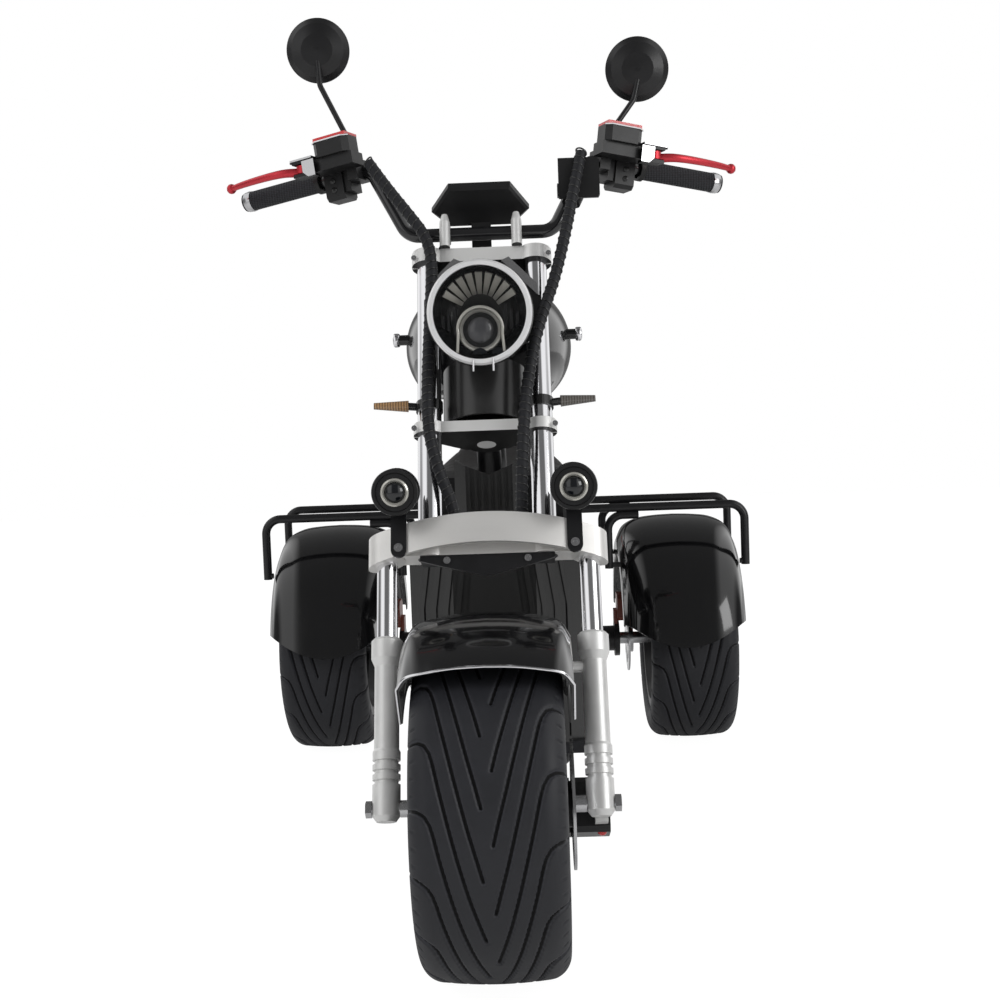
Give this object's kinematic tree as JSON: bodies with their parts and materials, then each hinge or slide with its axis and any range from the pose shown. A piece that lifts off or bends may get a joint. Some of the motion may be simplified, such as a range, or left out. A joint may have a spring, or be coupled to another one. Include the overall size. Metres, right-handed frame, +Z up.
{
  "type": "electric tricycle",
  "caption": "Chopper style electric tricycle with a wide front wheel, steering fork, long tank, low seat with backrest, and fendered rear wheels.",
  "frame": {"origin": "on the ground, under the middle of the overall length and width", "axes": "+X to the rider's left, +Y to the rear, +Z up"},
  "size_m": [1.111, 1.9599, 1.4464],
  "materials": {
    "gloss_black": "gloss black paint",
    "frame_black": "satin black powder coat",
    "silver_cast": "silver painted casting",
    "brushed_alloy": "brushed",
    "chrome": "polished",
    "steel": "zinc plated",
    "tyre": "dark grey rubber",
    "rubber": "matte",
    "plastic": "matte black",
    "gloss_plastic": "gloss black",
    "red_anodised": "red anodised",
    "red_lamp": "red lens",
    "signal": "amber lens",
    "lens": "clear",
    "brake": "red brown",
    "leather": "black seat cover"
  },
  "bodies": {
    "frame": {"main_frame": "frame_black", "seat_frame": "frame_black", "floor_deck": "rubber", "battery_case": "gloss_plastic", "front_shield": "gloss_plastic", "neck_covers": "gloss_black", "tank": "gloss_black", "seat_cushion": "leather", "backrest_cushion": "leather", "rear_fenders": "gloss_black", "fender_racks": "frame_black", "rear_axle": "frame_black", "swing_arms": "frame_black", "rear_shocks": "steel", "rear_callipers": "brake", "rear_lamps": "red_lamp", "plate_bracket": "plastic"},
    "steering": {"front_axle": "steel", "fork_sliders": "silver_cast", "fork_tubes": "chrome", "fork_clamps": "silver_cast", "steering_stem": "silver_cast", "fork_bridge": "brushed_alloy", "bridge_plate": "frame_black", "front_fender": "gloss_black", "front_calliper": "brake", "handlebar": "frame_black", "grips": "rubber", "bar_controls": "plastic", "brake_levers": "red_anodised", "mirrors": "plastic", "display": "plastic", "phone_holder": "plastic", "headlight_shell": "plastic", "headlight_ring": "brushed_alloy", "headlight_lens": "lens", "front_turn_signals": "signal", "fog_lamps": "plastic", "cable_looms": "rubber"},
    "front_wheel": {"front_tyre": "tyre", "front_rim": "frame_black", "front_brake_disc": "steel"},
    "rear_wheel_left": {"rear_tyre_left": "tyre", "rear_rim_left": "frame_black", "rear_hub_left": "steel"},
    "rear_wheel_right": {"rear_tyre_right": "tyre", "rear_rim_right": "frame_black", "rear_hub_right": "steel"}
  },
  "joints": [
    {"name": "steering", "type": "hinge", "parent": "frame", "child": "steering", "pos_m": [0, -0.42224, 0.85971], "axis": [0, 0.4067, 0.9135], "range_deg": [-35, 35]},
    {"name": "front_wheel_spin", "type": "hinge", "parent": "steering", "child": "front_wheel", "pos_m": [0, -0.7435, 0.2365], "axis": [1, 0, 0], "continuous": true},
    {"name": "rear_wheel_left_spin", "type": "hinge", "parent": "frame", "child": "rear_wheel_left", "pos_m": [0.4215, 0.6565, 0.2365], "axis": [1, 0, 0], "continuous": true},
    {"name": "rear_wheel_right_spin", "type": "hinge", "parent": "frame", "child": "rear_wheel_right", "pos_m": [-0.4215, 0.6565, 0.2365], "axis": [1, 0, 0], "continuous": true}
  ]
}
